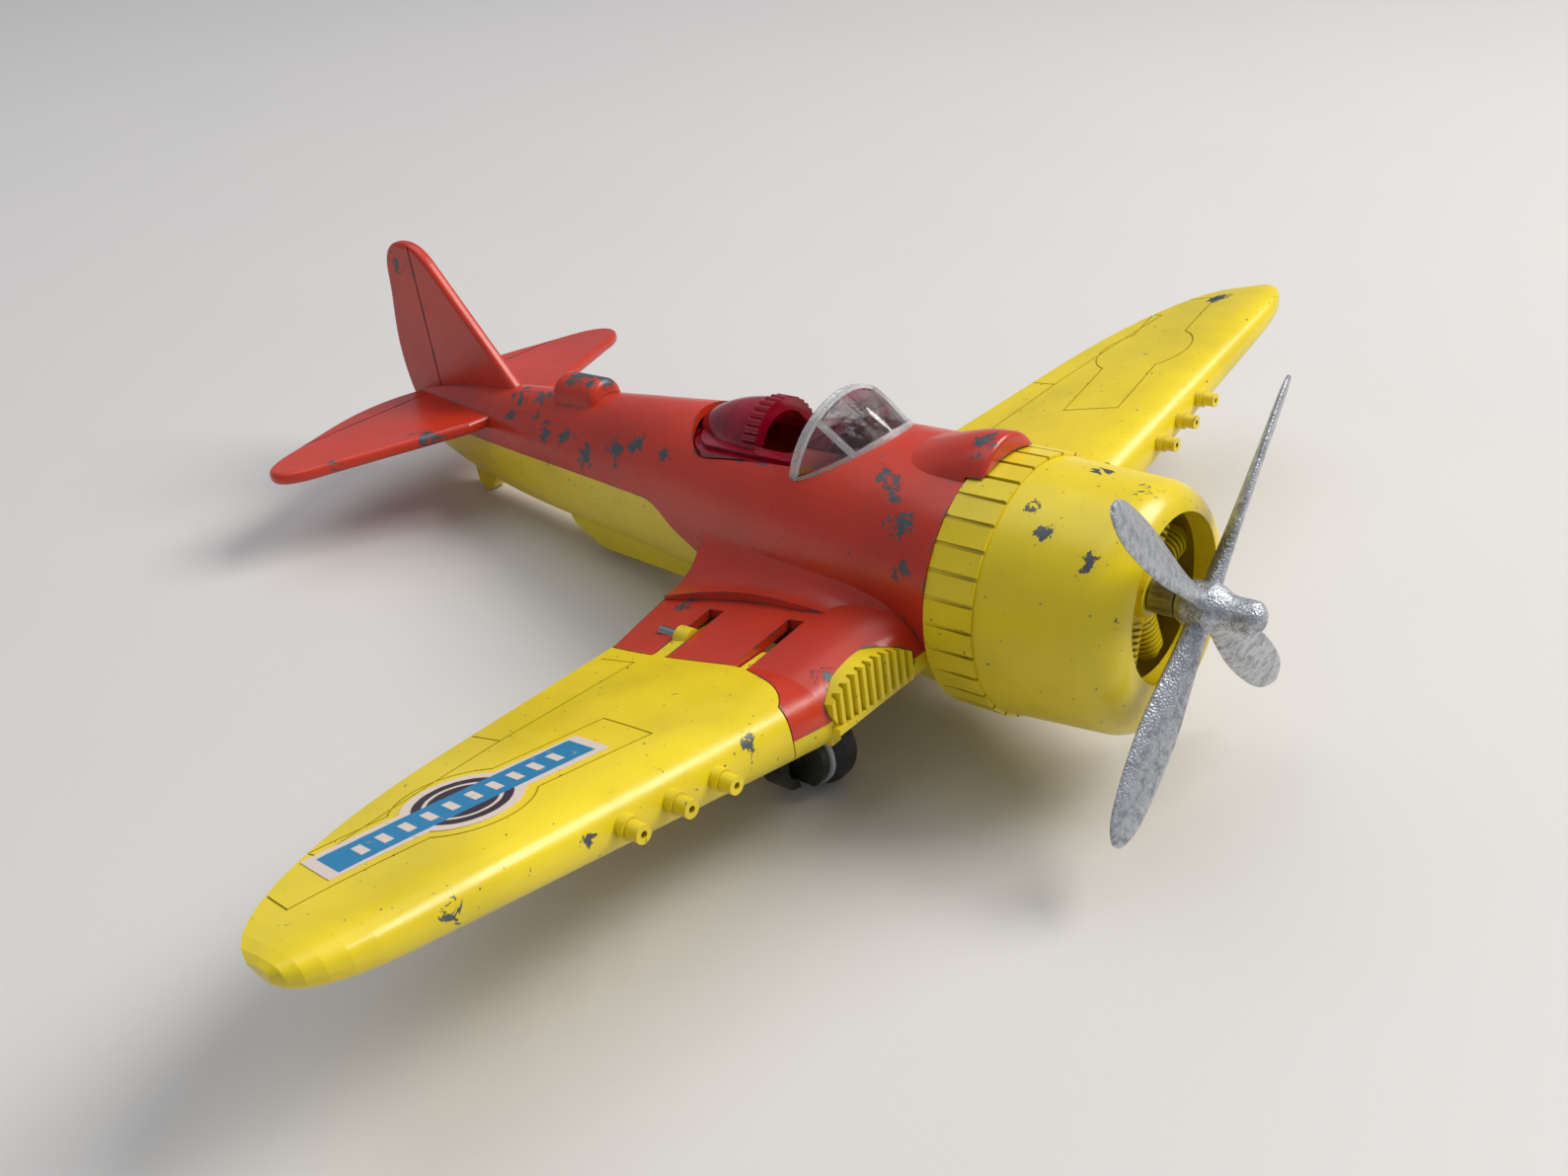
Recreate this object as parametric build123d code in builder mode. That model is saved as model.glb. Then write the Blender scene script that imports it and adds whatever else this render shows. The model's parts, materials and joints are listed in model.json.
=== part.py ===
"""Die-cast toy fighter with folding wings, retracting gear and a free-spinning propeller.

Everything is drawn in the airframe's own frame: x forward along the propeller's axis, y to port
and z up, with the origin at the middle of the propeller. That frame is tilted nose up, so that
the toy stands on its two wheels and its tail skid, on z = 0. Sizes are in millimetres.
"""

import os
from math import cos, radians, sin

from build123d import *

os.makedirs("parts", exist_ok=True)

# ---------------------------------------------------------------- driving dimensions
half_span = 140.0
nose_up = 8.5               # attitude on the ground, degrees
hub_height = 42.6           # propeller above the ground
hub_x = 101.0               # propeller ahead of the middle of the toy's length

wall = 1.8                  # thickness of the zinc castings
gap = 0.25                  # clearance between moving castings
running_fit = 0.05          # radial clearance of a pin in its bore

cowl_rear = -39.0           # joint between the cowling and the fuselage
cowl_front = -5.0
opening_radius = 14.6
shaft_radius = 1.2

wing_root = 15.0            # first rib, buried in the fuselage
wing_break = 45.0           # lowest rib, where the wing turns up
fold_y, fold_z = 38.5, -9.0     # fold hinge
fold_radius = 7.4           # end of the fixed wing, about the fold hinge
lobe_radius = 14.5          # the same at the leading edge
pin_radius = 1.0
slot_x = (-82.0, -62.0)     # middles of the two hinge slots
slot_width = 3.8
lug_width = 3.2
lug_radius = 2.2

screw_x = (-128.0, -52.0)   # screws that hold the two castings together
screw_radius = 1.25

tyre_y = 33.3               # middle of the tyre
tyre_radius = 8.0
tyre_width = 6.0
hub_radius = 4.6
axle_x = -58.0
pivot_x, pivot_z = -61.5, -16.2
bracket_y = 40.45           # bracket that the leg's pin passes through

deck_z = 13.4               # floor that the canopy slides on
canopy_travel = 12.0
gun_y = (70.0, 79.3, 88.6)
sides = {"port": 1, "starboard": -1}

# ---------------------------------------------------------------- the airframe's planes
tilt = radians(nose_up)
airframe = Plane(
    origin=(hub_x, 0, hub_height),
    x_dir=(cos(tilt), 0, sin(tilt)),
    z_dir=(-sin(tilt), 0, cos(tilt)),
)


def point(x, y, z):
    """A point given in the airframe's frame."""
    return airframe.from_local_coords(Vector(x, y, z))


def station(x, y=0.0, z=0.0):
    """Plane across the fuselage, facing forward: local x to port, local y up."""
    return Plane(origin=point(x, y, z), x_dir=(0, 1, 0), z_dir=airframe.x_dir)


def rib_plane(y, x=0.0, z=0.0):
    """Plane along the fuselage, facing starboard: local x forward, local y up."""
    return Plane(origin=point(x, y, z), x_dir=airframe.x_dir, z_dir=(0, -1, 0))


def deck(z, x=0.0, y=0.0):
    """Plane parallel to the fuselage's axis, facing up: local x forward, local y to port."""
    return Plane(origin=point(x, y, z), x_dir=airframe.x_dir, z_dir=airframe.z_dir)


def fore_and_aft(y, z):
    """Axis parallel to the propeller's."""
    return Axis(point(0, y, z), airframe.x_dir)


def level(height, x):
    """Local z of the point at x that stands so high above the ground."""
    return (height - hub_height - x * sin(tilt)) / cos(tilt)


axle_z = level(tyre_radius, axle_x)
skid_x = -187.5

# ---------------------------------------------------------------- fuselage body
shoulder_z = 1.0            # height of the fuselage's widest line
# x, half width, top, bottom
fuselage_stations = [
    (cowl_rear, 23.0, 19.4, -27.4),
    (-62.0, 20.8, 20.2, -24.0),
    (-90.0, 17.8, 19.6, -20.5),
    (-118.0, 14.2, 17.8, -17.6),
    (-150.0, 10.6, 15.4, -15.4),
    (-182.0, 6.8, 12.8, -11.6),
    (-209.0, 2.6, 9.2, -2.6),
]


def fuselage(inset=0.0, bulkhead=0.0):
    """Whole body behind the cowling, or its hollow when inset."""
    with BuildPart() as body:
        for x, half_width, top, bottom in fuselage_stations:
            across = half_width - inset
            upper = top - inset - shoulder_z
            lower = shoulder_z - bottom - inset
            if min(across, upper, lower) < 1:
                continue
            with BuildSketch(station(x - (bulkhead if x == cowl_rear else 0))):
                with BuildLine():
                    EllipticalCenterArc((0, shoulder_z), across, upper, 0, arc_size=180)
                    EllipticalCenterArc((0, shoulder_z), across, lower, 180, arc_size=180)
                make_face()
        loft()
    return body.part


def above_parting():
    """Everything above the joint of the two castings, as seen from the side."""
    with BuildPart() as space:
        with BuildSketch(rib_plane(60)):
            with BuildLine():
                level_run = Line((20, -9), (-99, -9))
                rise = Spline(level_run @ 1, (-107, -2.4), (-116, 2.5), tangents=[(-0.5, 1), (-1, 0)])
                Polyline(rise @ 1, (-225, 2), (-225, 80), (20, 80), (20, -9))
            make_face()
        extrude(amount=120)
    return space.part


# ---------------------------------------------------------------- wing body
tip_x = -53.0
front_turn_y = 122.0        # where the leading edge starts to round into the tip
rear_turn_y = 90.0


def rounding(y, start):
    """How far the outline has turned in towards the tip, from 0 at start to 1 at the tip."""
    share = max(0.0, (y - start) / (half_span - start))
    return 1 - (1 - share**2.6) ** (1 / 2.6)


def rib(y):
    """y, leading edge, trailing edge, chord height and thickness above and below the chord."""
    if y <= wing_break:
        inward = (wing_break - y) / (wing_break - wing_root)
        return (y, -44 + 3.5 * inward, -95 - 4.5 * inward, -11.4 + 2.8 * inward, 6.2, 5.8 + inward)
    outward = (y - wing_break) / (half_span - wing_break)
    front = -44.0 - 1.5 * outward
    rear = -95.0 + 23.5 * outward
    front += (tip_x - front) * rounding(y, front_turn_y)
    rear += (tip_x - rear) * rounding(y, rear_turn_y)
    fullness = 1 - rounding(y, rear_turn_y) ** 2
    above = (6.2 - 3.2 * outward) * fullness
    below = (5.8 - 3.2 * outward) * fullness
    return (y, front, rear, -11.4 + 16.6 * outward, above, below)


inner_ribs = (wing_root, wing_break)
tip_ribs = [rear_turn_y + (half_span - rear_turn_y) * sin(radians(turn)) for turn in range(0, 85, 7)]
outer_ribs = [wing_break] + tip_ribs


def wing_half(stations, side, upper, inset=0.0):
    """Upper or lower half of a stretch of wing, split at its chord."""
    sign = 1 if upper else -1
    with BuildPart() as half:
        for y, front, rear, chord_z, above, below in map(rib, stations):
            crown = (above if upper else below) - inset
            front -= 1.3 * inset
            rear += 3.0 * inset
            base = -0.4 * inset
            depth = front - rear
            with BuildSketch(rib_plane(side * y, 0, chord_z)):
                with BuildLine():
                    skin = Spline(
                        (front, sign * base),
                        (front - 0.33 * depth, sign * crown),
                        (rear, sign * (base + 0.08 * crown + 0.15)),
                        tangents=[(0, sign), (-depth, -sign * 1.1 * crown)],
                    )
                    Polyline(skin @ 1, (rear, sign * base), (front, sign * base))
                make_face()
        loft(ruled=True)
    return half.part


def wing(side, upper):
    """Upper or lower half of a whole wing."""
    return wing_half(inner_ribs, side, upper) + wing_half(outer_ribs, side, upper)


def fixed_span(side, clearance=0.0):
    """Space of the fixed wing: inboard of the fold, with an end that is round about the hinge."""
    with BuildPart() as space:
        with BuildSketch(deck(fold_z, 0, side * fold_y)):
            with BuildLine():
                start = Line((-104, 0), (-104, side * (fold_radius + clearance)))
                run = Line(start @ 1, (-65, side * (fold_radius + clearance)))
                lobe = Spline(
                    run @ 1,
                    (-56, side * (fold_radius + 2.4 + clearance)),
                    (-47, side * (lobe_radius + clearance)),
                    tangents=[(1, 0), (0.6, side)],
                )
                Polyline(lobe @ 1, (-36, side * (lobe_radius + clearance)), (-36, 0), start @ 0)
            make_face()
        revolve(axis=fore_and_aft(side * fold_y, fold_z))
        with BuildSketch(deck(-30)):
            with Locations((-70, side * (fold_y + 5.6 + clearance) / 2)):
                Rectangle(70, fold_y + 5.6 + clearance)
        extrude(amount=40)
    return space.part


def slots(side):
    """Both hinge slots, open right through the fixed wing."""
    with BuildPart() as cuts:
        with BuildSketch(deck(-30)):
            for x in slot_x:
                with Locations((x, side * 40)):
                    Rectangle(slot_width, 20)
        extrude(amount=40)
    return cuts.part


def wheel_well(side):
    """Opening under the fixed wing that the wheel and its leg swing up into."""
    with BuildPart() as cut:
        with Locations(deck(-22, -64.85, side * 37.3)):
            Box(32.9, 19.4, 22)
        fillet(cut.edges().filter_by(Axis(point(0, 0, 0), airframe.z_dir)), 1.5)
    return cut.part


def intake(side, margin=0.0):
    """Arch of the air intake in the fixed wing's leading edge, smaller all round by the margin."""
    with BuildPart() as cut:
        with BuildSketch(station(-36, side * 34, -8.6)):
            with BuildLine():
                floor = Line((-9, -4.2), (9, -4.2))
                Polyline(floor @ 1, (10.5, -1), (10.5, 0.6))
                arch = ThreePointArc((10.5, 0.6), (0, 4.6), (-10.5, 0.6))
                Polyline(arch @ 1, (-10.5, -1), floor @ 0)
            make_face()
            offset(amount=-margin, kind=Kind.INTERSECTION)
        extrude(amount=-10)
    return cut.part


def grille(side):
    """Upright ribs that fill the intake, following the leading edge."""
    ribs = []
    for step in range(11):
        for along, depth in ((0, 1.3), (0.45, 1.3), (0.75, 0), (1.5, 0)):
            y = 24 + 1.85 * step + along
            ribs.append((-43.2 + 0.11 * (45 - y) - depth, side * y))
    with BuildPart() as plate:
        with BuildSketch(deck(-14)):
            with BuildLine():
                Polyline((-46, side * 24), *ribs, (-46, side * 44.5), close=True)
            make_face()
        extrude(amount=12)
    return plate.part & intake(side, 0.12)


def hinge_bar(side):
    """Solid bar inside the fixed wing that the hinge pin is pressed through."""
    with BuildPart() as bar:
        with Locations(deck(-9.2, -72, side * 39.6)):
            Box(34, 5.6, 6.6)
    return bar.part


def pin_bore(side, radius, start, end):
    """Hole for the wing's hinge pin between two places along the fuselage."""
    with BuildPart() as bore:
        with BuildSketch(station(start, side * fold_y, fold_z)):
            Circle(radius)
        extrude(amount=end - start)
    return bore.part


def post(x, z, length, radius=3.2):
    """Upright round post or hole on the fuselage's middle line."""
    with BuildPart() as column:
        with BuildSketch(deck(z, x)):
            Circle(radius)
        extrude(amount=length)
    return column.part


def spigot_hole():
    """Hole in the fuselage's front wall that the engine's spigot passes through."""
    with BuildPart() as hole:
        with BuildSketch(station(cowl_rear + 1)):
            Circle(5)
        extrude(amount=-5)
    return hole.part


body = fuselage()
body_hollow = fuselage(wall, 2.5)
body_above = body & above_parting()
body_below = body - above_parting()
wing_upper = {side: wing(side, True) for side in (1, -1)}
wing_lower = {side: wing(side, False) for side in (1, -1)}
fixed_wing = {side: fixed_span(side) for side in (1, -1)}
hinge_slots = {side: slots(side) for side in (1, -1)}


# ---------------------------------------------------------------- scoop behind the cowling
with BuildPart() as scoop:
    for x, across, height in ((-35.8, 9.4, 9.8), (-41, 9.8, 9.5), (-50, 10.6, 6.9), (-60, 11.6, 5.6)):
        with BuildSketch(station(x, 0, 14)):
            Ellipse(across, height)
    loft()
    fillet(scoop.edges().sort_by(fore_and_aft(0, 0))[-1], 0.9)
    with Locations(deck(0, -45)):
        Box(60, 60, 24, mode=Mode.SUBTRACT)
    with BuildSketch(station(-30, 0, -3.7)):
        Circle(24.1)
    extrude(amount=-9.2, mode=Mode.SUBTRACT)

# ---------------------------------------------------------------- wing root fairings
# x, half width of the fuselage, and how far out and how high the fairing's edge is
fairing_stations = [
    (-97.0, 17.0, 29.3, -8.4),
    (-88.0, 18.0, 27.6, -6.2),
    (-79.0, 19.0, 26.4, -4.6),
    (-67.0, 20.3, 26.8, -3.1),
    (-56.0, 21.3, 26.6, -3.3),
    (-49.0, 22.0, 24.4, -5.0),
    (-44.0, 22.4, 21.6, -7.0),
]


def fairing(side):
    """Hollow curve from the fuselage's side out over the wing, with a small step at its edge."""
    with BuildPart() as root:
        for x, half_width, edge_y, edge_z in fairing_stations:
            with BuildSketch(station(x)):
                with BuildLine():
                    top = Line((side * 14, shoulder_z), (side * (half_width - 0.3), shoulder_z))
                    bend = (side * (0.7 * half_width + 0.3 * edge_y), 0.3 * shoulder_z + 0.7 * edge_z)
                    curve = ThreePointArc(top @ 1, bend, (side * edge_y, edge_z))
                    Polyline(curve @ 1, (side * edge_y, edge_z - 1.8), (side * 14, edge_z - 1.8), top @ 0)
                make_face()
        loft()
    return root.part


# ---------------------------------------------------------------- cockpit openings
with BuildPart() as cockpit_cut:
    with BuildSketch(deck(deck_z)):             # open deck behind the windshield
        with BuildLine():
            front = Line((-74, -12.3), (-74, 12.3))
            port = Line(front @ 1, (-99, 12.3))
            stern = ThreePointArc(port @ 1, (-107.2, 0), (-99, -12.3))
            Line(stern @ 1, front @ 0)
        make_face()
    extrude(amount=10)
    for width, height in ((24.6, 1.8), (21.8, 2.7)):    # room for both steps of its flange
        with Locations(deck(deck_z + height / 2, -69)):
            Box(canopy_travel + 2, width, height)
    with Locations(deck(10, -83)):
        Box(38, 17.4, 20)                       # cockpit well
    with Locations(deck(deck_z + 5, -68)):
        Box(13, 13, 10)                         # opening inside the windshield

with BuildPart() as cockpit_floor:
    with Locations(deck(deck_z - wall / 2, -84.5)):
        Box(51, 36, wall)

# ---------------------------------------------------------------- fin and tailplanes
with BuildPart() as fin:
    with BuildSketch(rib_plane(0)):
        with BuildLine():
            root = Line((-209.5, 5), (-164, 5))
            front = Line(root @ 1, (-167.5, 12.5))
            leading = Line(front @ 1, (-191.5, 40.8))
            tip = Spline(leading @ 1, (-200, 45.4), (-208.6, 37.5), tangents=[(-0.65, 0.76), (-0.1, -1)])
            Spline(tip @ 1, (-211.3, 22), root @ 0, tangents=[(-0.1, -1), (0.35, -1)])
        make_face()
    extrude(amount=1.5, both=True)
    fillet(fin.faces().filter_by(Axis.Y).edges(), 1.1)
with BuildPart() as tailplanes:
    with BuildSketch(deck(7)):
        for side in (1, -1):
            with BuildLine():
                root = Line((-206, 0), (-173, 0))
                leading = Polyline(root @ 1, (-174, side * 12), (-186.5, side * 43))
                tip = Spline(
                    leading @ 1,
                    (-194, side * 51.6),
                    (-201.5, side * 43.5),
                    tangents=[(-0.3, side), (-0.35, -side)],
                )
                Spline(tip @ 1, (-209, side * 17), root @ 0, tangents=[(-0.3, -side), (0.5, -side)])
            make_face()
    extrude(amount=1.4, both=True)
    fillet(tailplanes.faces().filter_by(Axis(point(0, 0, 0), airframe.z_dir)).edges(), 1.1)
with BuildPart() as tail:
    add(fin.part)
    add(tailplanes.part)
    for side in (1, -1):
        with Locations(rib_plane(side * 1.5, -197.4, 27)):      # rudder's hinge line
            Box(0.4, 38, 0.6, mode=Mode.SUBTRACT)
        for height in (5.6, 8.4):                               # elevator's hinge line
            with Locations(deck(height, -202.3, side * 23)):
                Box(0.4, 40, 0.6, mode=Mode.SUBTRACT)

# ---------------------------------------------------------------- hump on the spine
with BuildPart() as spine_hump:
    with BuildSketch(station(-151.5, 0, 15)):
        Circle(4.8)
    extrude(amount=13.5)
    fillet(spine_hump.edges().filter_by(GeomType.CIRCLE), 1.6)

# ---------------------------------------------------------------- upper casting
with BuildPart() as upper_casting:
    add(body_above)
    add(scoop.part)
    add(spine_hump.part)
    for side in (1, -1):
        add((wing_upper[side] & fixed_wing[side]) - body_below)
        add(fairing(side) - body_below - wing_lower[side])
    add(body_hollow, mode=Mode.SUBTRACT)
    add(cockpit_floor.part & body)
    for side in (1, -1):
        add(wing_half(inner_ribs, side, True, wall), mode=Mode.SUBTRACT)
        add(hinge_bar(side) & (wing_upper[side] + wing_lower[side]))
        add(intake(side), mode=Mode.SUBTRACT)
        add(hinge_slots[side], mode=Mode.SUBTRACT)
        add(pin_bore(side, pin_radius, -89, -54), mode=Mode.SUBTRACT)
    add(cockpit_cut.part, mode=Mode.SUBTRACT)
    add(spigot_hole(), mode=Mode.SUBTRACT)
    for x in screw_x:                           # posts for the assembly screws
        add(post(x, -8, 40) & body)
        add(post(x, -9, 10, screw_radius), mode=Mode.SUBTRACT)
    add(tail.part)
upper_casting.part.label = "upper_casting"
export_step(upper_casting.part, "parts/upper_casting.step")

# ---------------------------------------------------------------- lower casting
with BuildPart() as lower_casting:
    add(body_below)
    with BuildSketch(rib_plane(5.5)):           # fairing along the belly
        with BuildLine():
            step = Spline((-152, -13), (-148, -16.5), (-141, -19.4), tangents=[(0.2, -1), (1, -0.1)])
            Polyline(step @ 1, (-120, -20.4), (-90, -21.4), (-90, -13), step @ 0)
        make_face()
    extrude(amount=11)
    with BuildSketch(rib_plane(1.9, skid_x)):   # tail skid
        with Locations((0, level(3.0, skid_x))):
            Circle(3)
        with Locations((0.5, level(6.0, skid_x))):
            Rectangle(7, 6)
    extrude(amount=3.8)
    for side in (1, -1):
        add((wing_lower[side] & fixed_wing[side]) - body_above)
    add(body_hollow, mode=Mode.SUBTRACT)
    for side in (1, -1):
        add(wing_half(inner_ribs, side, False, wall), mode=Mode.SUBTRACT)
        add(intake(side), mode=Mode.SUBTRACT)
        with Locations(deck(-13.2, -44.6, side * 34)):      # floor of the intake
            Box(4.4, 19.5, 1.2)
        add(grille(side))
        add(wheel_well(side), mode=Mode.SUBTRACT)
        add(hinge_bar(side), mode=Mode.SUBTRACT)
        add(hinge_slots[side], mode=Mode.SUBTRACT)
        with Locations(deck(-15.6, -55.35, side * bracket_y)):  # carries the leg's pin
            Box(17.7, 2.4, 5.8)
        with BuildSketch(rib_plane(side * bracket_y, pivot_x, pivot_z)):
            Circle(pin_radius + running_fit)
        extrude(amount=4, both=True, mode=Mode.SUBTRACT)
    add(spigot_hole(), mode=Mode.SUBTRACT)
    for x in screw_x:                           # counterbored posts from the belly
        add(post(x, -8.1, -40, 3.6) & body)
        add(post(x, 0, -40, screw_radius + 0.2), mode=Mode.SUBTRACT)
        add(post(x, -17, -20, 2.7), mode=Mode.SUBTRACT)
lower_casting.part.label = "lower_casting"
export_step(lower_casting.part, "parts/lower_casting.step")

# ---------------------------------------------------------------- engine cowling
with BuildPart() as cowl_flap:
    with Locations(deck(19.55, -34.2)):
        Box(9.4, 3.9, 0.9)
with BuildPart() as engine_cowling:
    with BuildSketch(station(cowl_rear, 0, -3.9)):
        Circle(23.7)
    with BuildSketch(station(cowl_front, 0, -3.0)):
        Circle(21.6)
    loft()
    rims = engine_cowling.edges().filter_by(GeomType.CIRCLE)
    fillet(rims.sort_by(fore_and_aft(0, 0))[-1], 6.5)
    with BuildSketch(station(cowl_front + 1)):
        Circle(opening_radius)
    extrude(amount=-12, mode=Mode.SUBTRACT)
    with BuildSketch(station(-9, 0, -2)):
        Circle(18.6)
    with BuildSketch(station(cowl_rear - 1, 0, -3)):
        Circle(20.6)
    loft(mode=Mode.SUBTRACT)
    for step in range(32):
        add(cowl_flap.part.rotate(fore_and_aft(0, -3.7), 360 / 32 * step))
engine_cowling.part.label = "engine_cowling"
export_step(engine_cowling.part, "parts/engine_cowling.step")

# ---------------------------------------------------------------- cast engine inside the cowling
cylinder_count = 9
cylinder_x = -13.3
with BuildPart() as cylinder:                   # one finned cylinder, standing up
    with BuildSketch(rib_plane(0, cylinder_x)):
        with BuildLine():
            outline = [(0, 4), (2.2, 4)]
            for fin in range(8):
                foot = 5.6 + 1.15 * fin
                outline += [(2.2, foot), (3.1, foot), (3.1, foot + 0.55), (2.2, foot + 0.55)]
            outline += [(2.2, 16.2), (0, 16.2), (0, 4)]
            Polyline(*outline)
        make_face()
    revolve(axis=Axis(point(cylinder_x, 0, 0), airframe.z_dir))
with BuildPart() as engine_casting:
    with BuildSketch(station(-19)):
        Circle(16.5)
    extrude(amount=2)
    with BuildSketch(station(-17)):             # crankcase and its nose
        Circle(6.4)
    extrude(amount=6)
    with BuildSketch(station(-11)):
        Circle(4.4)
    extrude(amount=2, taper=12)
    for step in range(cylinder_count):
        add(cylinder.part.rotate(fore_and_aft(0, 0), 360 / cylinder_count * step))
    with BuildSketch(station(-19)):             # spigot held by the fuselage
        Circle(5)
    extrude(amount=-28)
    with BuildSketch(station(cowl_rear - 2.5)):
        Circle(7)
    extrude(amount=-2)
    with BuildSketch(station(0)):
        Circle(shaft_radius)
    extrude(amount=-30, mode=Mode.SUBTRACT)
engine_casting.part.label = "engine_casting"
export_step(engine_casting.part, "parts/engine_casting.step")

# ---------------------------------------------------------------- screws and propeller shaft
with BuildPart() as casting_screws:
    for x in screw_x:
        with BuildSketch(deck(-17, x)):
            Circle(screw_radius)
        extrude(amount=16)
        with BuildSketch(deck(-18.6, x)):
            Circle(2.4)
        extrude(amount=1.6)
        with Locations(deck(-18.6, x)):
            Box(0.6, 5, 1.2, mode=Mode.SUBTRACT)
casting_screws.part.label = "casting_screws"
export_step(casting_screws.part, "parts/casting_screws.step")

with BuildPart() as propeller_shaft:
    with BuildSketch(station(-30)):
        Circle(shaft_radius)
    extrude(amount=36)
propeller_shaft.part.label = "propeller_shaft"
export_step(propeller_shaft.part, "parts/propeller_shaft.step")

with BuildPart() as shaft_collar:               # keeps the propeller off the engine
    with BuildSketch(station(-8.6)):
        Circle(3.0)
        Circle(shaft_radius, mode=Mode.SUBTRACT)
    extrude(amount=4.4)
shaft_collar.part.label = "shaft_collar"
export_step(shaft_collar.part, "parts/shaft_collar.step")

# ---------------------------------------------------------------- propeller
blade_count = 4
blade_start = 46.0          # degrees from straight up, towards port
# radius, chord, thickness, pitch
blade_sections = [
    (1.5, 3.6, 3.2, 50),
    (8.0, 4.8, 2.5, 40),
    (17.0, 7.2, 2.0, 29),
    (27.0, 8.4, 1.7, 23),
    (35.0, 7.4, 1.4, 20),
    (39.5, 4.8, 1.1, 19),
    (41.3, 1.6, 0.7, 19),
]
with BuildPart() as blade:
    for radius, chord, thickness, twist in blade_sections:
        with BuildSketch(deck(radius)):
            Ellipse(thickness / 2, chord / 2, rotation=twist)
    loft()
with BuildPart() as propeller:
    with BuildSketch(rib_plane(0)):             # hub and spinner
        with BuildLine():
            back = Polyline((-3.8, 0), (-3.8, 3.2), (-2.4, 4.0), (1.5, 4.2))
            flare = Spline(back @ 1, (4.5, 3.0), (7.2, 2.9), tangents=[(1, -0.2), (1, 0)])
            nose = Line(flare @ 1, (8.2, 2.9))
            dome = Spline(nose @ 1, (9.6, 2.2), (10.4, 0), tangents=[(1, 0), (0, -1)])
            Line(dome @ 1, back @ 0)
        make_face()
    revolve(axis=fore_and_aft(0, 0))
    for step in range(blade_count):
        add(blade.part.rotate(fore_and_aft(0, 0), -blade_start - 360 / blade_count * step))
    with BuildSketch(station(6.2)):
        Circle(shaft_radius + running_fit)
    extrude(amount=-20, mode=Mode.SUBTRACT)
propeller.part.label = "propeller"
export_step(propeller.part, "parts/propeller.step")

# ---------------------------------------------------------------- windshield
with BuildPart() as windshield:
    for x, across, height, base in ((-74, 13.6, 13.3, 13.4), (-59.6, 5.4, 2.7, 18.0)):
        with BuildSketch(station(x, 0, base)):
            with BuildLine():
                hoop = EllipticalCenterArc((0, 0), across, height, 0, arc_size=180)
                Polyline(hoop @ 1, (-across, -2), (across, -2), hoop @ 0)
            make_face()
    loft(ruled=True)
    for x, across, height, base in ((-75, 12.6, 12.3, 13.4), (-60.8, 4.3, 1.7, 18.0)):
        with BuildSketch(station(x, 0, base)):
            with BuildLine():
                hoop = EllipticalCenterArc((0, 0), across, height, 0, arc_size=180)
                Polyline(hoop @ 1, (-across, -4), (across, -4), hoop @ 0)
            make_face()
    loft(ruled=True, mode=Mode.SUBTRACT)
    add(body, mode=Mode.SUBTRACT)
    add(scoop.part, mode=Mode.SUBTRACT)
windshield.part.label = "windshield"
export_step(windshield.part, "parts/windshield.step")

# ---------------------------------------------------------------- sliding canopy
dome_front = -87.0
with BuildPart() as canopy:
    with BuildSketch(deck(deck_z + 0.15)):      # flange that slides on the deck
        with BuildLine():
            front = Line((-76, -11.9), (-76, 11.9))
            port = Line(front @ 1, (-99, 11.9))
            stern = ThreePointArc(port @ 1, (-106.6, 0), (-99, -11.9))
            Line(stern @ 1, front @ 0)
        make_face()
    extrude(amount=1.3)
    with BuildSketch(deck(deck_z + 0.15)):      # second step of the flange
        with BuildLine():
            front = Line((-77, -10.6), (-77, 10.6))
            port = Line(front @ 1, (-98.5, 10.6))
            stern = ThreePointArc(port @ 1, (-105.4, 0), (-98.5, -10.6))
            Line(stern @ 1, front @ 0)
        make_face()
    extrude(amount=2.2)
    for x, radius in ((dome_front, 8.6), (-95, 8.4), (-105.8, 4.7)):
        with BuildSketch(station(x, 0, deck_z)):
            Circle(radius)
    loft()
    with Locations(deck(deck_z - 10 + 0.15, -92)):
        Box(60, 40, 20, mode=Mode.SUBTRACT)     # flat underneath
    with BuildSketch(station(dome_front, 0, deck_z)):   # thick pleated rim
        with PolarLocations(8.6, 16, 5.6, 180 - 11.2):
            Circle(0.85)
    extrude(amount=-3.6)
    for x, radius in ((dome_front + 0.1, 6.9), (-95, 6.7), (-103.5, 3.4)):
        with BuildSketch(station(x, 0, deck_z - 0.2)):
            Circle(radius)
    loft(mode=Mode.SUBTRACT)
    with BuildSketch(deck(deck_z)):             # opening over the cockpit well
        with Locations((-88, 0)):
            RectangleRounded(18, 15.2, 2)
    extrude(amount=2.4, mode=Mode.SUBTRACT)
    for side in (1, -1):                        # skirts that guide it in the well
        with Locations(deck(deck_z - 2.3, -89, side * 7.9)):
            Box(20, 0.9, 5.2)
canopy.part.label = "canopy"
export_step(canopy.part, "parts/canopy.step")

# ---------------------------------------------------------------- wing panels
bar_length, bar_width, disc_radius = 46.0, 9.4, 9.2     # badge on the wing
panel_bar = 56.0            # the same bar in the cast-in outline
badge_x, badge_y, badge_turn = -64.6, 101.0, 5.3
line_width = 0.32           # cast-in lines


def badge(side, bar, margin):
    """Prism of the bar-and-disc badge's outline, seen from above."""
    with BuildPart() as prism:
        with BuildSketch(deck(-30)):
            with Locations(Location((badge_x, side * badge_y), side * badge_turn)):
                Rectangle(bar_width + 2 * margin, bar + 2 * margin)
                Circle(disc_radius + margin)
        extrude(amount=60)
    return prism.part


def skin_layer(side, thickness):
    """Layer of the wing under its upper skin, or above the skin when the thickness is negative."""
    shifted = wing_upper[side].moved(Location(airframe.z_dir * -thickness))
    if thickness > 0:
        return wing_upper[side] - shifted
    return shifted - wing_upper[side]


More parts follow.
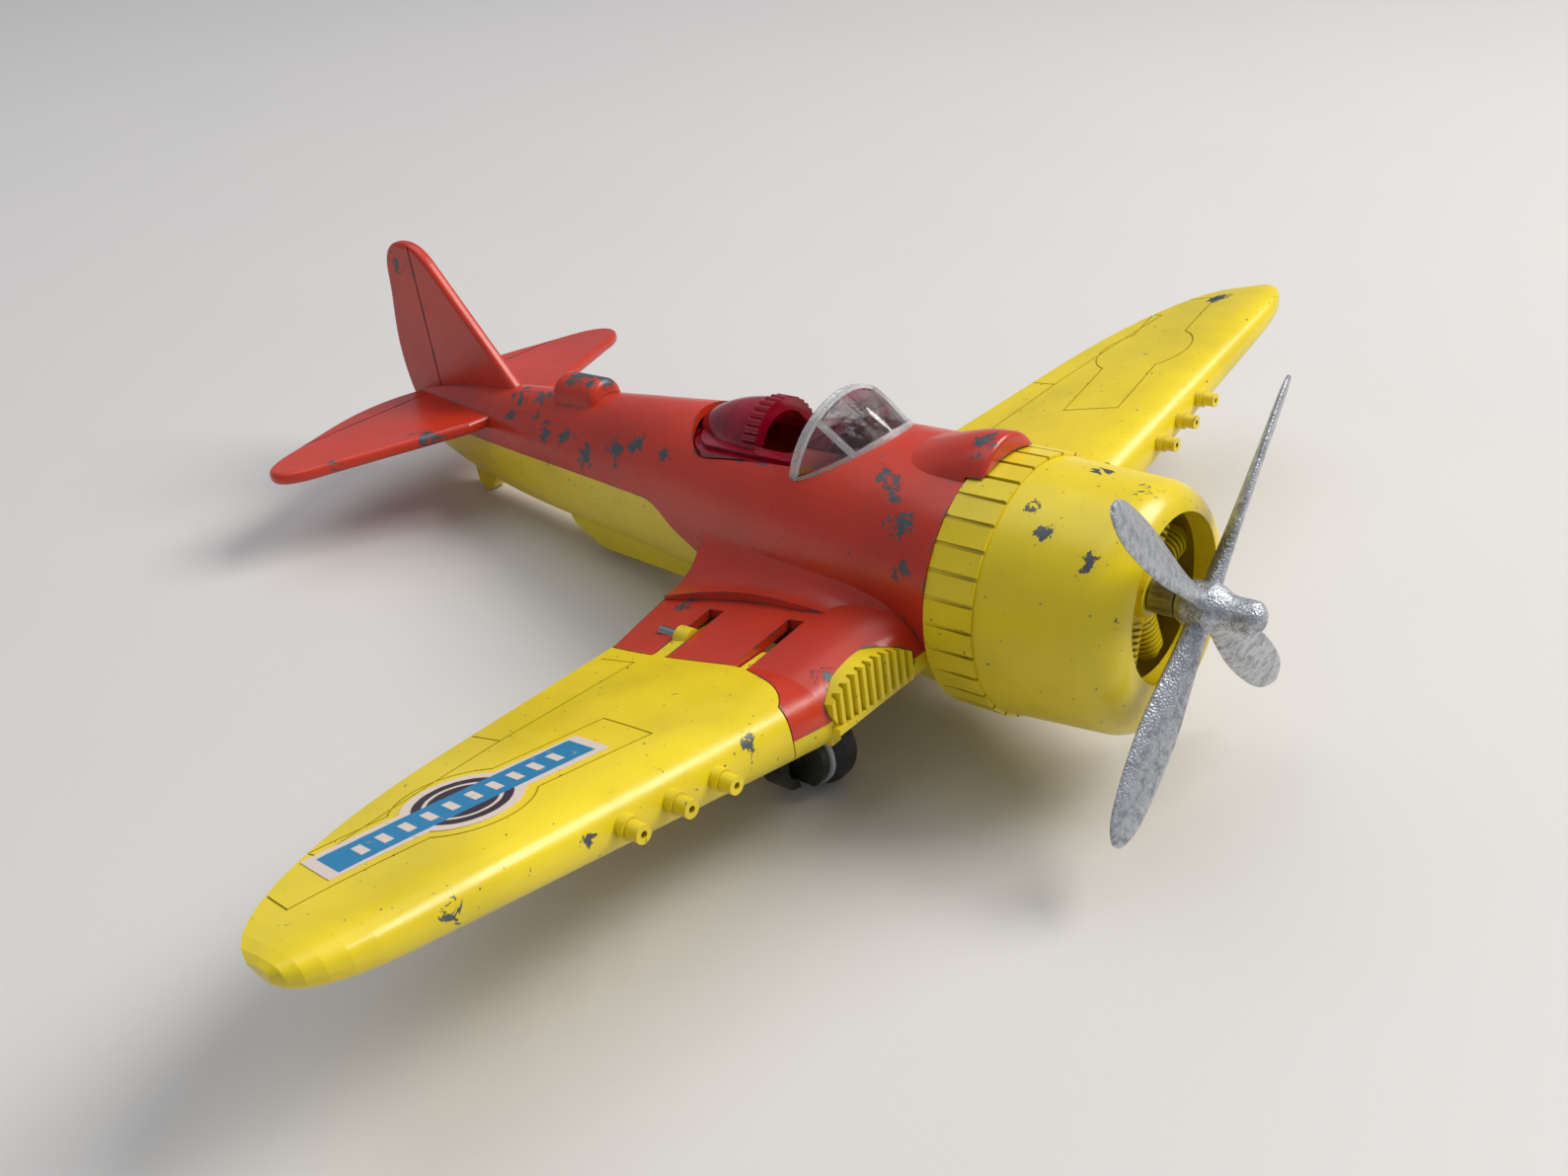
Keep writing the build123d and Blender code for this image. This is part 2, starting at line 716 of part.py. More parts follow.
def strip(start, end, side):
    """Thin upright plate between two places on the wing, seen from above."""
    along = Vector(end[0] - start[0], side * (end[1] - start[1]), 0)
    foot = point(start[0], side * start[1], -30)
    direction = airframe.x_dir * along.X + Vector(0, along.Y, 0)
    with BuildPart() as plate:
        with BuildSketch(Plane(origin=foot, x_dir=direction, z_dir=airframe.z_dir)):
            Rectangle(along.length, line_width, align=(Align.MIN, Align.CENTER))
        extrude(amount=60)
    return plate.part


def engraving(side):
    """Cast-in lines on the wing: the badge's outline and the edges of the flap and aileron."""
    hinge_line = [(-84, 50), (-78.5, 84), (-70.5, 121)]
    with BuildPart() as lines:
        add(badge(side, panel_bar, 1.6 + line_width))
        add(badge(side, panel_bar, 1.6), mode=Mode.SUBTRACT)
        for start, end in zip(hinge_line, hinge_line[1:]):
            add(strip(start, end, side))
        for corner, reach in zip(hinge_line, (8, 7, 5)):
            add(strip(corner, (corner[0] - reach, corner[1] + 1), side))
    return lines.part & skin_layer(side, 0.3)


def panel_core(side):
    """Core taken out of the panel's underside, around its two stiffening ribs."""
    inner, outer = rib(52), rib(116)
    with BuildPart() as core:
        with BuildSketch(deck(-30)):
            with BuildLine():
                Polyline(
                    (inner[1] - 4.5, side * inner[0]),
                    (inner[2] + 10, side * inner[0]),
                    (outer[2] + 6, side * outer[0]),
                    (outer[1] - 4, side * outer[0]),
                    close=True,
                )
            make_face()
        extrude(amount=60)
        for y in (74, 96):
            with Locations(deck(0, -65, side * y)):
                Box(70, 1.6, 80, mode=Mode.SUBTRACT)
        add(skin_layer(side, wall + 0.4), mode=Mode.SUBTRACT)
    return core.part


def lug_arms(side):
    """Bars from the panel in to both knuckles of its hinge."""
    with BuildPart() as arms:
        for x in slot_x:
            with Locations(deck(fold_z, x, side * (fold_y + 5))):
                Box(lug_width, 10, 2 * lug_radius)
    return arms.part


def wing_panel(side):
    """Folding outer wing with its hinge lugs and gun barrels cast on."""
    with BuildPart() as panel:
        add(wing_upper[side] + wing_lower[side])
        add(fixed_span(side, gap), mode=Mode.SUBTRACT)
        for x in slot_x:                        # hinge lugs, level with the wing's skin
            with BuildSketch(station(x - lug_width / 2, side * fold_y, fold_z)):
                Circle(lug_radius)
            extrude(amount=lug_width)
        add(lug_arms(side) & (wing_upper[side] + wing_lower[side]))
        for y in gun_y:                         # gun barrels
            front, height = rib(y)[1], rib(y)[3] + 0.6
            with BuildSketch(station(front - 3, side * y, height)):
                Circle(1.9)
            extrude(amount=4.4)
            with BuildSketch(station(front + 1, side * y, height)):
                Circle(1.5)
            extrude(amount=3)
            with BuildSketch(station(front + 4, side * y, height)):
                Circle(0.6)
            extrude(amount=-1.2, mode=Mode.SUBTRACT)
        add(panel_core(side), mode=Mode.SUBTRACT)
        add(engraving(side), mode=Mode.SUBTRACT)
        add(pin_bore(side, pin_radius + running_fit, -95, -50), mode=Mode.SUBTRACT)
    return panel.part


def wing_hinge_pin(side):
    """Steel pin pressed through the fixed wing, on which both lugs turn."""
    return pin_bore(side, pin_radius, -88.6, -55.2)


# ---------------------------------------------------------------- landing gear
cheek = (37.4, 38.95)       # inner and outer faces of the leg's two arms, along y
arm = (41.95, 44.0)


def cross_bar(side, span, x, z, radius):
    """Round bar along y, between two distances from the middle line."""
    with BuildPart() as bar:
        with BuildSketch(Plane(origin=point(x, side * span[0], z), z_dir=(0, side, 0))):
            Circle(radius)
        extrude(amount=span[1] - span[0])
    return bar.part


def gear_leg(side):
    """Clevis on the bracket: a cheek beside the wheel and a hooked outer arm, with a bridge."""
    with BuildPart() as leg:
        add(cross_bar(side, cheek, axle_x, axle_z, 6.3))
        with Locations(deck(axle_z - 10.4, axle_x, side * 38)):     # flat foot of the cheek
            Box(20, 6, 10, mode=Mode.SUBTRACT)
        with Locations(deck(axle_z, axle_x - 9.8, side * 38)):      # clear of the hinge when up
            Box(10, 6, 20, mode=Mode.SUBTRACT)
        for span in (cheek, arm):
            add(cross_bar(side, span, pivot_x, pivot_z, 2.3))
        with Locations(deck(pivot_z - 2.5, pivot_x + 1.5, side * sum(cheek) / 2)):
            Box(4.6, cheek[1] - cheek[0], 5)
        with Locations(deck(pivot_z - 6.8, pivot_x + 1.9, side * (cheek[0] + arm[1]) / 2)):     # bridge
            Box(4.6, arm[1] - cheek[0], 4)
        with BuildSketch(station(pivot_x - 0.4, side * sum(arm) / 2, pivot_z - 5.5)):   # hooked arm
            Rectangle(arm[1] - arm[0], 11)
            with BuildLine():
                outer = ThreePointArc((side * 1.2, -5), (-side * 0.2, -9.2), (-side * 3.4, -10.6))
                end = Line(outer @ 1, (-side * 3.2, -8.6))
                inner = ThreePointArc(end @ 1, (-side * 1.6, -7.9), (-side * 1.2, -5))
                Line(inner @ 1, outer @ 0)
            make_face()
        extrude(amount=4.6)
        add(gear_pivot_pin(side), mode=Mode.SUBTRACT)
        add(wheel_axle(side), mode=Mode.SUBTRACT)
    return leg.part


def gear_pivot_pin(side):
    """Pin that turns in the bracket, with its ends in the leg."""
    return cross_bar(side, (cheek[0], arm[1]), pivot_x, pivot_z, pin_radius)


def wheel_axle(side):
    """Headed pin pressed into the leg."""
    head = tyre_y - tyre_width / 2 - 1.3
    with BuildPart() as axle:
        add(cross_bar(side, (head, cheek[1]), axle_x, axle_z, pin_radius))
        add(cross_bar(side, (head, head + 0.9), axle_x, axle_z, 2.0))
    return axle.part


def wheel_hub(side):
    """Hub with a flange outboard of the tyre."""
    inboard, outboard = tyre_y - tyre_width / 2, tyre_y + tyre_width / 2
    with BuildPart() as hub:
        add(cross_bar(side, (inboard - 0.1, outboard), axle_x, axle_z, hub_radius))
        add(cross_bar(side, (outboard, outboard + 0.8), axle_x, axle_z, 6.8))
        add(cross_bar(side, (20, 50), axle_x, axle_z, pin_radius + running_fit), mode=Mode.SUBTRACT)
    return hub.part


def tyre(side):
    """Rubber tyre with rounded shoulders."""
    with BuildPart() as ring:
        with BuildSketch(deck(axle_z, axle_x, side * tyre_y)) as section:
            with Locations((-(hub_radius + tyre_radius) / 2, 0)):
                Rectangle(tyre_radius - hub_radius, tyre_width)
            fillet(section.vertices().group_by(Axis.X)[0], 2.2)
        revolve(axis=Axis(point(axle_x, 0, axle_z), (0, 1, 0)))
    return ring.part


# ---------------------------------------------------------------- the pieces of each side
for name, side in sides.items():
    for make in (wing_panel, wing_hinge_pin, gear_leg, gear_pivot_pin, wheel_axle, wheel_hub, tyre):
        piece = make(side)
        piece.label = f"{name}_{make.__name__}"
        export_step(piece, f"parts/{piece.label}.step")

starboard_wing_label = badge(-1, bar_length, 0) & skin_layer(-1, -0.15)     # paper badge
starboard_wing_label.label = "starboard_wing_label"
export_step(starboard_wing_label, "parts/starboard_wing_label.step")
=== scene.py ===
"""Looks of a worn die-cast toy fighter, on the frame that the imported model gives."""

import json
from math import cos, pi, radians, sin

import bmesh
import bpy
from mathutils import Matrix, Vector


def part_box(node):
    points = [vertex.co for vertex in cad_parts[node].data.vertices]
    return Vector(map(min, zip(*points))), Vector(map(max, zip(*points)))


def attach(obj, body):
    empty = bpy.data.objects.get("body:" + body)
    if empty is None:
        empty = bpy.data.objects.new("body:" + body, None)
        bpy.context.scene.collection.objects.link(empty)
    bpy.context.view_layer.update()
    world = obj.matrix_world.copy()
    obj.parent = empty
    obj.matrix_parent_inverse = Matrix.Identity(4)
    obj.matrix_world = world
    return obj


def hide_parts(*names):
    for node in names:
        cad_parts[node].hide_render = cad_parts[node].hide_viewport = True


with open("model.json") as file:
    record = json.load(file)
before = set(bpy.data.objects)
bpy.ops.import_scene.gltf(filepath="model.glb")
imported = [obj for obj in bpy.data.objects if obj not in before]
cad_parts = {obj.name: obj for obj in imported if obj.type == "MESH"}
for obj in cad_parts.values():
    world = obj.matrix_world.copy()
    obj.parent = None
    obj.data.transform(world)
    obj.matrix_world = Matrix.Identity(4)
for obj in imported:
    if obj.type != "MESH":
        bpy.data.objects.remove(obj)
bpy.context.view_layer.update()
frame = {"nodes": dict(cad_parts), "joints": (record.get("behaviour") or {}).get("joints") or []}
scene = bpy.context.scene

# ---------------------------------------------------------------- colours
red = (0.58, 0.034, 0.010, 1)
yellow = (0.86, 0.66, 0.012, 1)
bare_metal = (0.070, 0.078, 0.086, 1)
zinc = (0.56, 0.58, 0.61, 1)
steel = (0.42, 0.42, 0.43, 1)
crimson = (0.46, 0.004, 0.030, 1)
clear = (0.93, 0.94, 0.94, 1)
rubber = (0.011, 0.012, 0.016, 1)
leg_colour = (0.016, 0.019, 0.016, 1)
hub_colour = (0.42, 0.44, 0.47, 1)
paper = (0.72, 0.60, 0.52, 1)
blue_ink = (0.006, 0.20, 0.40, 1)
dark_ink = (0.022, 0.014, 0.022, 1)
table = (0.66, 0.635, 0.60, 1)
aged_print = (0.42, 0.30, 0.22, 1)


def tinted(colour, factor, lift=0.0):
    """The colour made darker or brighter, no brighter than white."""
    return [min(1.0, channel * factor + lift) for channel in colour[:3]] + [1]


# ---------------------------------------------------------------- the airframe's own frame
spin = next(joint for joint in frame["joints"] if joint["name"] == "propeller_spin")
hub = Vector(spin["pos_m"])
forward = Vector(spin["axis"]).normalized()
port = Vector((0, 1, 0))
upward = forward.cross(port)


def place(x, y, z):
    """World position of a point given in millimetres from the propeller: forward, to port, up."""
    return hub + (forward * x + port * y + upward * z) / 1000


# ---------------------------------------------------------------- short spelling for node trees
class Finish:
    """One procedural material on one Principled shader."""

    def __init__(self, name, base, roughness, metallic=0.0):
        self.material = bpy.data.materials.new(name)
        self.material.use_nodes = True
        self.tree = self.material.node_tree
        self.shader = self.tree.nodes["Principled BSDF"]
        self.set("Base Color", base)
        self.set("Roughness", roughness)
        self.set("Metallic", metallic)
        self.here = self.node("ShaderNodeTexCoord").outputs["Object"]

    def node(self, kind, **settings):
        """Adds a node with some of its settings."""
        made = self.tree.nodes.new(kind)
        for name, value in settings.items():
            setattr(made, name, value)
        return made

    def feed(self, socket, value):
        """Links a node's output to the socket, or sets the socket to a constant."""
        if isinstance(value, bpy.types.NodeSocket):
            self.tree.links.new(value, socket)
        else:
            socket.default_value = value

    def set(self, name, value):
        """Feeds one of the shader's own sockets."""
        self.feed(self.shader.inputs[name], value)

    def math(self, operation, *values):
        """Result of one math node."""
        made = self.node("ShaderNodeMath", operation=operation)
        for socket, value in zip(made.inputs, values):
            self.feed(socket, value)
        return made.outputs[0]

    def noise(self, size, detail=4.0, roughness=0.55, distortion=0.0):
        """Noise whose lumps are about size millimetres across."""
        made = self.node("ShaderNodeTexNoise")
        self.feed(made.inputs["Vector"], self.here)
        self.feed(made.inputs["Scale"], 1000 / size)
        self.feed(made.inputs["Detail"], detail)
        self.feed(made.inputs["Roughness"], roughness)
        self.feed(made.inputs["Distortion"], distortion)
        return made.outputs[0]

    def cells(self, size):
        """Distance to the middle of the nearest cell, the cells being about size millimetres across."""
        made = self.node("ShaderNodeTexVoronoi")
        self.feed(made.inputs["Vector"], self.here)
        self.feed(made.inputs["Scale"], 1000 / size)
        return made.outputs["Distance"]

    def between(self, value, low, high, start=0.0, end=1.0):
        """Smooth step from start to end while value goes from low to high."""
        made = self.node("ShaderNodeMapRange", interpolation_type="SMOOTHSTEP")
        for socket, number in zip(made.inputs, (value, low, high, start, end)):
            self.feed(socket, number)
        return made.outputs[0]

    def mix(self, factor, first, second):
        """Colour that goes from first to second as the factor goes from 0 to 1."""
        made = self.node("ShaderNodeMix", data_type="RGBA")
        self.feed(made.inputs[0], factor)
        self.feed(made.inputs[6], first)
        self.feed(made.inputs[7], second)
        return made.outputs[2]

    def near(self, spot, radius):
        """1 at a point of the airframe, falling to 0 at radius millimetres."""
        gap = self.node("ShaderNodeVectorMath", operation="DISTANCE")
        self.feed(gap.inputs[0], self.here)
        self.feed(gap.inputs[1], place(*spot))
        return self.between(gap.outputs["Value"], 0.0, radius / 1000, 1.0, 0.0)

    def bump(self, height, depth):
        """Relief that is depth millimetres high where the height is 1."""
        made = self.node("ShaderNodeBump")
        self.feed(made.inputs["Height"], height)
        self.feed(made.inputs["Distance"], depth / 1000)
        self.set("Normal", made.outputs[0])

    def edges(self, radius):
        """How sharply the surface turns within radius millimetres, from 0 to 1."""
        rounded = self.node("ShaderNodeBevel", samples=4)
        self.feed(rounded.inputs["Radius"], radius / 1000)
        facing = self.node("ShaderNodeNewGeometry").outputs["Normal"]
        agree = self.node("ShaderNodeVectorMath", operation="DOT_PRODUCT")
        self.feed(agree.inputs[0], rounded.outputs[0])
        self.feed(agree.inputs[1], facing)
        return self.between(agree.outputs["Value"], 0.995, 0.90)

    def crevices(self, reach):
        """How shut in the surface is within reach millimetres, from 0 to 1."""
        made = self.node("ShaderNodeAmbientOcclusion", samples=4)
        self.feed(made.inputs["Distance"], reach / 1000)
        return self.between(made.outputs["AO"], 0.75, 0.25)


# ---------------------------------------------------------------- worn paint on zinc
sound_paint = 0.735         # noise above this is chipped anywhere
chip_reach = 0.27           # how much lower that limit is in the middle of a chipped place
flake_depth = 0.10

# chipped places: millimetres forward, to port and up, and how far the damage spreads
red_chips = [
    ((-142, -10, 9), 9),
    ((-135, -11, 8), 9),
    ((-150, -9, 9), 6),
    ((-126, -11, 10), 8),
    ((-119, -11, 12), 6),
    ((-109, -12, 12), 5),
    ((-164, -2, 14), 8),
    ((-156, -4, 13), 8),
    ((-165, -7, 10), 6),
    ((-55, -11, 18), 7),
    ((-51, -14, 16), 7),
    ((-46, -17, 12.5), 7),
    ((-45, -21, 6), 5),
    ((-41, -9, 22), 6),
    ((-38, -3, 24), 7),
    ((-40, 5, 23), 7),
    ((-145, 0, 20), 9),
    ((-140, 0, 19), 8),
    ((-204, 0, 41), 8),
    ((-196, 0, 33), 5),
    ((-183, -40, 8), 8),
    ((-178, -22, 8), 8),
    ((-47, -41, -5), 5),
    ((-92, -30, -7), 6),
]
cowling_chips = [
    ((-20, 3, 19), 4.5),
    ((-10, 0, 18.5), 5),
    ((-25, -10, 17), 3.5),
    ((-21, -13.5, 14.7), 4.5),
    ((-12, -15.6, 12.4), 5),
    ((-6, -17.7, 3.5), 3),
]
panel_chips = [
    ((-46, -62, -6), 5),
    ((-47, -118, 2), 6),
    ((-60, 130, 6), 6),
    ((-46, -96, -2), 5),
]


def worn_paint(name, base, chips, wear):
    """Enamel on zinc, chipped at the edges and at the places given."""
    paint = Finish(name, base, 0.30)
    ragged = paint.noise(3.2, detail=7.0, roughness=0.68, distortion=0.6)
    tone = paint.noise(30.0, detail=3.0)
    damage = 0.0
    for spot, radius in chips:
        damage = paint.math("MAXIMUM", damage, paint.near(spot, radius))
    allowed = paint.math("MULTIPLY_ADD", damage, -chip_reach, sound_paint)
    patches = paint.between(paint.math("SUBTRACT", ragged, allowed), 0.0, 0.012)
    rubbed = paint.math("MULTIPLY", paint.edges(0.8), paint.between(ragged, 0.64 - wear, 0.66 - wear))
    specks = paint.math("MULTIPLY", paint.between(paint.noise(1.1, detail=2.0), 0.715, 0.73), 0.8)
    bare = paint.math("MAXIMUM", patches, paint.math("MAXIMUM", rubbed, specks))
    # painted shade in crevices: the paint colour goes towards a near-black copy wherever the surface is
    # shut in
    painted_shade = paint.math("MULTIPLY", paint.crevices(1.2), 0.55)
    darker = tinted(base, 0.80)
    coat = paint.mix(paint.between(tone, 0.35, 0.70), base, darker)
    painted_shade_colour = tinted(base, 0.18)
    coat = paint.mix(painted_shade, coat, painted_shade_colour)
    metal = paint.mix(paint.noise(1.5), bare_metal, tinted(bare_metal, 2.2))
    paint.set("Base Color", paint.mix(bare, coat, metal))
    smooth = paint.between(paint.noise(9.0), 0.3, 0.7, 0.27, 0.38)
    paint.set("Roughness", paint.between(bare, 0.0, 1.0, smooth, 0.52))
    paint.set("Metallic", paint.math("MULTIPLY", bare, 0.75))
    paint.set("Coat Weight", 0.12)
    paint.set("Coat Roughness", 0.20)
    peel = paint.math("MULTIPLY", paint.noise(1.4, detail=3.0), 0.16)
    paint.bump(paint.math("SUBTRACT", peel, bare), flake_depth)
    return paint.material


# ---------------------------------------------------------------- bare metal
def cast_zinc():
    """Coarse bare casting with bright grains."""
    metal = Finish("bare_cast_zinc", zinc, 0.40, 0.9)
    grain = metal.cells(0.42)
    patches = metal.noise(1.6, detail=6.0, roughness=0.75)
    dull = tinted(zinc, 0.55)
    bright = tinted(zinc, 1.6)
    shade = metal.mix(metal.between(patches, 0.36, 0.58), dull, zinc)
    metal.set("Base Color", metal.mix(metal.between(grain, 0.20, 0.06), shade, bright))
    metal.set("Roughness", metal.between(patches, 0.3, 0.7, 0.52, 0.30))
    metal.bump(metal.math("ADD", grain, patches), 0.12)
    return metal.material


def plain_steel():
    """Drawn pin steel with fine scratches."""
    metal = Finish("pin_steel", steel, 0.34, 1.0)
    marks = metal.noise(0.5, detail=5.0, roughness=0.7)
    metal.set("Base Color", metal.mix(marks, tinted(steel, 0.6), steel))
    metal.set("Roughness", metal.between(marks, 0.3, 0.7, 0.26, 0.45))
    metal.bump(marks, 0.02)
    return metal.material


# ---------------------------------------------------------------- plastics, rubber and paper
def moulded(name, base, roughness, grain, depth):
    """Opaque moulded plastic or rubber with a fine skin."""
    skin = Finish(name, base, roughness)
    lumps = skin.noise(grain, detail=5.0, roughness=0.6)
    dusty = tinted(base, 2.3, 0.012)
    skin.set("Base Color", skin.mix(skin.between(skin.noise(6.0), 0.42, 0.75), base, dusty))
    skin.set("Roughness", skin.between(lumps, 0.3, 0.7, roughness - 0.08, roughness + 0.10))
    skin.bump(lumps, depth)
    return skin.material


def crimson_plastic():
    """Translucent crimson moulding."""
    skin = Finish("crimson_plastic", crimson, 0.16)
    flow = skin.noise(7.0, detail=3.0)
    deep = tinted(crimson, 0.55)
    skin.set("Base Color", skin.mix(skin.between(flow, 0.35, 0.7), crimson, deep))
    skin.set("Roughness", skin.between(flow, 0.3, 0.7, 0.12, 0.24))
    skin.set("Transmission Weight", 0.45)
    skin.set("IOR", 1.49)
    skin.bump(skin.noise(2.5), 0.03)
    return skin.material


def clear_plastic(name, smooth, scuffed, clearness):
    """Clear moulding, a little scuffed."""
    skin = Finish(name, clear, smooth)
    scuffs = skin.noise(4.0, detail=6.0, roughness=0.7)
    skin.set("Roughness", skin.between(scuffs, 0.45, 0.75, smooth, scuffed))
    skin.set("Transmission Weight", clearness)
    skin.set("IOR", 1.38)
    skin.bump(skin.noise(3.0), 0.01)
    return skin.material


# the badge, in millimetres from its middle
badge_turn = -5.3           # degrees
bar_half_width = 3.45
bar_half_length = 21.3
disc_radius = 7.5
ring_inner = 5.4
ring_outer = 6.0
dash_pitch = 3.6
dash_half_width = 1.675
dashes_end = 18.1
soft_edge = 0.1


def badge_paper():
    """Bar-and-disc badge with plain bands and rings in place of its printing."""
    sheet = Finish("badge_paper", paper, 0.55)

    def within(distance, limit, blur=soft_edge):
        """1 where the distance is below the limit, with a soft edge."""
        return sheet.between(distance, limit + blur, limit - blur)

    low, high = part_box("starboard_wing_label")
    turned = sheet.node("ShaderNodeMapping", vector_type="TEXTURE")
    sheet.feed(turned.inputs["Vector"], sheet.here)
    sheet.feed(turned.inputs["Location"], (low + high) / 2)
    sheet.feed(turned.inputs["Rotation"], (0, 0, radians(badge_turn)))
    sheet.feed(turned.inputs["Scale"], (0.001, 0.001, 0.001))
    split = sheet.node("ShaderNodeSeparateXYZ")
    sheet.feed(split.inputs[0], turned.outputs[0])
    wobble = sheet.math("MULTIPLY", sheet.math("SUBTRACT", sheet.noise(2.0), 0.5), 0.35)
    across = sheet.math("ADD", sheet.math("ABSOLUTE", split.outputs[0]), wobble)
    along = sheet.math("ABSOLUTE", split.outputs[1])
    out = sheet.math("SQRT", sheet.math(
        "ADD", sheet.math("MULTIPLY", across, across), sheet.math("MULTIPLY", along, along)))
    inside_bar = sheet.math("MULTIPLY", within(across, bar_half_width), within(along, bar_half_length))
    inside_disc = within(out, disc_radius)
    beyond = sheet.between(out, ring_inner - soft_edge, ring_inner + soft_edge)
    ring = sheet.math("MULTIPLY", beyond, within(out, ring_outer))
    steps = sheet.math("FRACT", sheet.math("DIVIDE", along, dash_pitch))
    dash = sheet.math("MULTIPLY", sheet.between(steps, 0.30, 0.34), sheet.between(steps, 0.74, 0.70))
    dash = sheet.math("MULTIPLY", dash, within(across, dash_half_width, 0.075))
    dash = sheet.math("MULTIPLY", dash, within(along, dashes_end))
    print_colour = sheet.mix(inside_disc, paper, dark_ink)
    print_colour = sheet.mix(ring, print_colour, paper)
    print_colour = sheet.mix(inside_bar, print_colour, blue_ink)
    print_colour = sheet.mix(dash, print_colour, paper)
    worn = sheet.between(sheet.noise(2.2, detail=7.0, roughness=0.7), 0.60, 0.68)
    aged = sheet.mix(sheet.math("MULTIPLY", worn, 0.55), print_colour, aged_print)
    sheet.set("Base Color", aged)
    sheet.set("Roughness", sheet.between(worn, 0.0, 1.0, 0.42, 0.7))
    sheet.bump(sheet.noise(1.2, detail=4.0), 0.03)
    return sheet.material


def table_top():
    """Pale table with faint mottling."""
    top = Finish("pale_table", table, 0.55)
    cloud = top.noise(90.0, detail=4.0)
    cooler = [table[0] * 0.95, table[1] * 0.965, table[2] * 0.99, 1]
    top.set("Base Color", top.mix(cloud, table, cooler))
    top.bump(top.noise(1.0, detail=3.0), 0.03)
    return top.material


# ---------------------------------------------------------------- windshield
# millimetres from the propeller
hoop_x = -73.4
hoop_lean = 2.6             # how much further forward the hoop is at its top
half_width = 13.5
sill_z = 13.9
hoop_rise = 12.6
foot_reach = 13.6           # how far the foot runs forward of the hoop's ends
foot_rise = 6.3
dome = 0.9                  # how far the glass swells out between hoop and foot
glass = 0.9
hoop_end = 88               # degrees from straight up
pane_turn = 37
steps_round = 44
steps_down = 10


def hoop_point(turn, swell=0.0):
    """Rear hoop of the windshield, at an angle from straight up towards port."""
    return Vector((
        hoop_x + hoop_lean * cos(turn),
        (half_width + swell) * sin(turn),
        sill_z + (hoop_rise + swell) * cos(turn),
    ))


def foot_point(turn):
    """Foot of the windshield on the fuselage, at the same angle."""
    drop = max(0.0, cos(turn))
    return Vector((
        hoop_x + foot_reach * drop**1.2,
        half_width * sin(turn),
        sill_z + foot_rise * drop**1.6,
    ))


def glass_point(turn, down):
    """Point of the glass, so far down from the hoop to the foot, a little domed."""
    return hoop_point(turn, dome * sin(pi * down)).lerp(foot_point(turn), down)


def new_piece(name, mesh, material, body):
    """Adds a finished mesh that rides on a body."""
    piece = bpy.data.objects.new(name, mesh)
    scene.collection.objects.link(piece)
    mesh.materials.append(material)
    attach(piece, body)
    return piece


def bar_along(shape, path, centre, width, height):
    """Adds a rectangular bar of the second material along a path, standing away from a centre line."""
    rings = []
    before = set(shape.faces)
    for number, spot in enumerate(path):
        ahead = path[min(number + 1, len(path) - 1)] - path[max(number - 1, 0)]
        outward = spot - centre
        outward -= ahead * (outward.dot(ahead) / ahead.length_squared)
        outward.normalize()
        side = ahead.cross(outward).normalized() * width / 2
        corners = (spot - side, spot + side, spot + side + outward * height, spot - side + outward * height)
        rings.append([shape.verts.new(place(*corner)) for corner in corners])
    for first, second in zip(rings, rings[1:]):
        for step in range(4):
            shape.faces.new((first[step], first[step - 1], second[step - 1], second[step]))
    shape.faces.new(rings[0])
    shape.faces.new(reversed(rings[-1]))
    for face in set(shape.faces) - before:
        face.material_index = 1


def windshield():
    """Domed shell with a raised frame round its edges and between its panes."""
    shape = bmesh.new()
    turns = [radians(-hoop_end + 2 * hoop_end * step / steps_round) for step in range(steps_round + 1)]
    downs = [step / steps_down for step in range(steps_down + 1)]
    grid = []
    for turn in turns:
        grid.append([shape.verts.new(place(*glass_point(turn, down))) for down in downs])
    for first, second in zip(grid, grid[1:]):
        for step in range(steps_down):
            shape.faces.new((first[step], first[step + 1], second[step + 1], second[step]))
    bmesh.ops.solidify(shape, geom=shape.faces[:], thickness=glass / 1000)
    centre = Vector((-70, 0, 14))
    bar_along(shape, [hoop_point(turn) for turn in turns], centre, 1.9, 0.7)
    bar_along(shape, [foot_point(turn) for turn in turns], centre, 1.5, 0.8)
    for side in (-1, 1):
        turn = side * radians(pane_turn)
        bar_along(shape, [glass_point(turn, down) for down in downs], centre, 1.4, 0.6)
    bmesh.ops.recalc_face_normals(shape, faces=shape.faces[:])
    mesh = bpy.data.meshes.new("windshield_shell")
    shape.to_mesh(mesh)
    shape.free()
    for face in mesh.polygons:
        face.use_smooth = True
    mesh.set_sharp_from_angle(angle=radians(40))
    panes = clear_plastic("clear_plastic", 0.03, 0.16, 1.0)
    piece = new_piece("windshield_shell", mesh, panes, "airframe")
    mesh.materials.append(clear_plastic("frosted_plastic", 0.22, 0.45, 0.72))
    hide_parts("windshield")


# ---------------------------------------------------------------- finishes of the CAD nodes
def dress(material, *names):
    """Puts one material on CAD nodes."""
    for name in names:
        mesh = frame["nodes"][name].data
        mesh.materials.clear()
        mesh.materials.append(material)


def both(name):
    """Names of the port and starboard nodes of one kind."""
    return [f"{side}_{name}" for side in ("port", "starboard")]


dress(worn_paint("red_enamel", red, red_chips, 0.13), "upper_casting")
dress(worn_paint("yellow_enamel", yellow, [], 0.0), "lower_casting")
dress(worn_paint("cowling_enamel", yellow, cowling_chips, 0.0), "engine_cowling")
dress(worn_paint("engine_enamel", yellow, [], 0.0), "engine_casting")
dress(worn_paint("panel_enamel", yellow, panel_chips, 0.0), *both("wing_panel"))
dress(cast_zinc(), "propeller")
dress(plain_steel(), "propeller_shaft", "shaft_collar", "casting_screws",
      *both("wing_hinge_pin"), *both("gear_pivot_pin"), *both("wheel_axle"))
dress(crimson_plastic(), "canopy")
dress(moulded("leg_plastic", leg_colour, 0.42, 1.2, 0.05), *both("gear_leg"))
dress(moulded("hub_plastic", hub_colour, 0.40, 1.5, 0.03), *both("wheel_hub"))
